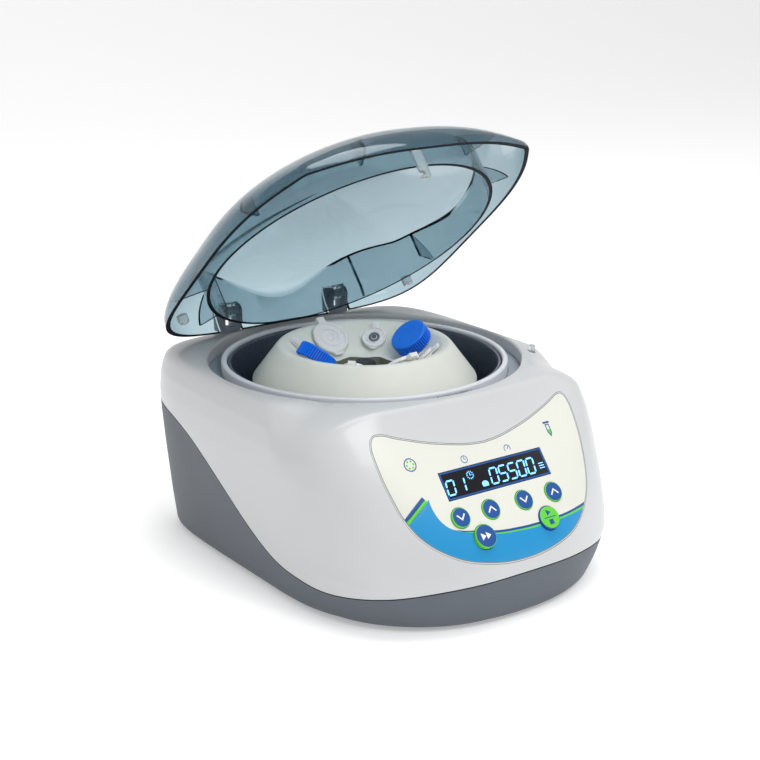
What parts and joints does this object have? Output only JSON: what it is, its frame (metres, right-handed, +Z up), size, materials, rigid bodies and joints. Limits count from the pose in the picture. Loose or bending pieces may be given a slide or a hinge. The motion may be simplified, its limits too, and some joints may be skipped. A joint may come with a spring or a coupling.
{
  "type": "laboratory centrifuge",
  "caption": "Benchtop laboratory centrifuge with an open smoke-tinted hinged lid, fixed-angle rotor holding capped tubes, sloping control panel and two-tone moulded body.",
  "frame": {"origin": "middle of the footprint, at the level the feet stand on", "axes": "+X to the right when facing the front, +Y to the rear, +Z up; the control panel faces -Y"},
  "size_m": [0.1908, 0.2366, 0.2363],
  "materials": {
    "white_shell": "satin",
    "grey_base": "fine texture",
    "light_ring": "satin",
    "dark_bowl": "satin",
    "rotor_plastic": "satin",
    "smoke_lid": "clear smoke tint",
    "clear_plastic": "translucent",
    "blue_cap": "ribbed",
    "black_plastic": "matte",
    "overlay": "printed sheet",
    "navy_key": "printed",
    "green_key": "printed",
    "display_glass": "polished",
    "board": "solder mask",
    "rubber_black": "matte",
    "steel": "brushed",
    "motor_metal": "satin",
    "copper_coil": "lacquered"
  },
  "bodies": {
    "housing": {"base_shell": "grey_base", "upper_shell": "white_shell", "chamber_ring": "light_ring", "groove_floor": "dark_bowl", "chamber_liner": "dark_bowl", "foot_1": "rubber_black", "foot_2": "rubber_black", "foot_3": "rubber_black", "foot_4": "rubber_black", "control_overlay": "overlay", "display_module": "display_glass", "control_board": "board", "latch_plate": "clear_plastic", "latch_solenoid": "copper_coil", "lid_switch": "black_plastic", "motor_plate": "steel", "motor": "motor_metal", "motor_damper_1": "rubber_black", "motor_damper_2": "rubber_black", "motor_damper_3": "rubber_black", "power_board": "board", "hinge_bracket_left": "black_plastic", "hinge_pin_left": "steel", "hinge_bracket_right": "black_plastic", "hinge_pin_right": "steel", "power_inlet": "black_plastic", "switch_frame": "black_plastic"},
    "rotor_assembly": {"motor_shaft": "steel", "rotor": "rotor_plastic", "rotor_nut": "black_plastic", "tube_5ml_right": "clear_plastic", "screw_cap_right": "blue_cap", "tube_1500ul_back_right": "clear_plastic", "tube_5ml_back": "clear_plastic", "tube_1500ul_back_left": "clear_plastic", "tube_5ml_left": "clear_plastic", "screw_cap_left": "blue_cap", "tube_1500ul_front_left": "clear_plastic", "tube_5ml_front": "clear_plastic", "tube_1500ul_front_right": "clear_plastic"},
    "lid": {"lid_shell": "smoke_lid", "lid_catch": "clear_plastic", "hinge_arm_left": "black_plastic", "lid_bumper_left": "clear_plastic", "hinge_arm_right": "black_plastic", "lid_bumper_right": "clear_plastic"},
    "time_down_button_body": {"time_down_button": "navy_key"},
    "time_up_button_body": {"time_up_button": "navy_key"},
    "speed_down_button_body": {"speed_down_button": "navy_key"},
    "speed_up_button_body": {"speed_up_button": "navy_key"},
    "quick_button_body": {"quick_button": "navy_key"},
    "start_stop_button_body": {"start_stop_button": "green_key"},
    "sensor_pin_body": {"lid_sensor_pin": "light_ring"},
    "latch_bolt_body": {"latch_bolt": "steel"},
    "rocker_body": {"power_rocker": "black_plastic"}
  },
  "joints": [
    {"name": "lid_hinge", "type": "hinge", "parent": "housing", "child": "lid", "pos_m": [0, 0.10958, 0.117], "axis": [-1, 0, 0], "range_deg": [-40.6, 30]},
    {"name": "rotor_spin", "type": "hinge", "parent": "housing", "child": "rotor_assembly", "pos_m": [0, 0.02357, 0.092], "axis": [0, 0, 1], "continuous": true},
    {"name": "time_down_press", "type": "slide", "parent": "housing", "child": "time_down_button_body", "axis": [0, 0.7734, -0.6339], "range_m": [0, 0.0005], "stiffness_N_per_m": 600, "springref_m": -0.0005},
    {"name": "time_up_press", "type": "slide", "parent": "housing", "child": "time_up_button_body", "axis": [0, 0.7734, -0.6339], "range_m": [0, 0.0005], "stiffness_N_per_m": 600, "springref_m": -0.0005},
    {"name": "speed_down_press", "type": "slide", "parent": "housing", "child": "speed_down_button_body", "axis": [0, 0.7734, -0.6339], "range_m": [0, 0.0005], "stiffness_N_per_m": 600, "springref_m": -0.0005},
    {"name": "speed_up_press", "type": "slide", "parent": "housing", "child": "speed_up_button_body", "axis": [0, 0.7734, -0.6339], "range_m": [0, 0.0005], "stiffness_N_per_m": 600, "springref_m": -0.0005},
    {"name": "quick_press", "type": "slide", "parent": "housing", "child": "quick_button_body", "axis": [0, 0.7734, -0.6339], "range_m": [0, 0.0005], "stiffness_N_per_m": 600, "springref_m": -0.0005},
    {"name": "start_stop_press", "type": "slide", "parent": "housing", "child": "start_stop_button_body", "axis": [0, 0.7734, -0.6339], "range_m": [0, 0.0005], "stiffness_N_per_m": 600, "springref_m": -0.0005},
    {"name": "lid_sensor_press", "type": "slide", "parent": "housing", "child": "sensor_pin_body", "axis": [0, 0, -1], "range_m": [0, 0.002], "stiffness_N_per_m": 250, "springref_m": -0.001},
    {"name": "latch_slide", "type": "slide", "parent": "housing", "child": "latch_bolt_body", "axis": [1, 0, 0], "range_m": [0, 0.0035], "stiffness_N_per_m": 200, "springref_m": -0.001},
    {"name": "rocker_tilt", "type": "hinge", "parent": "housing", "child": "rocker_body", "pos_m": [0.044, 0.11188, 0.036], "axis": [1, 0, 0], "range_deg": [0, 13]}
  ]
}
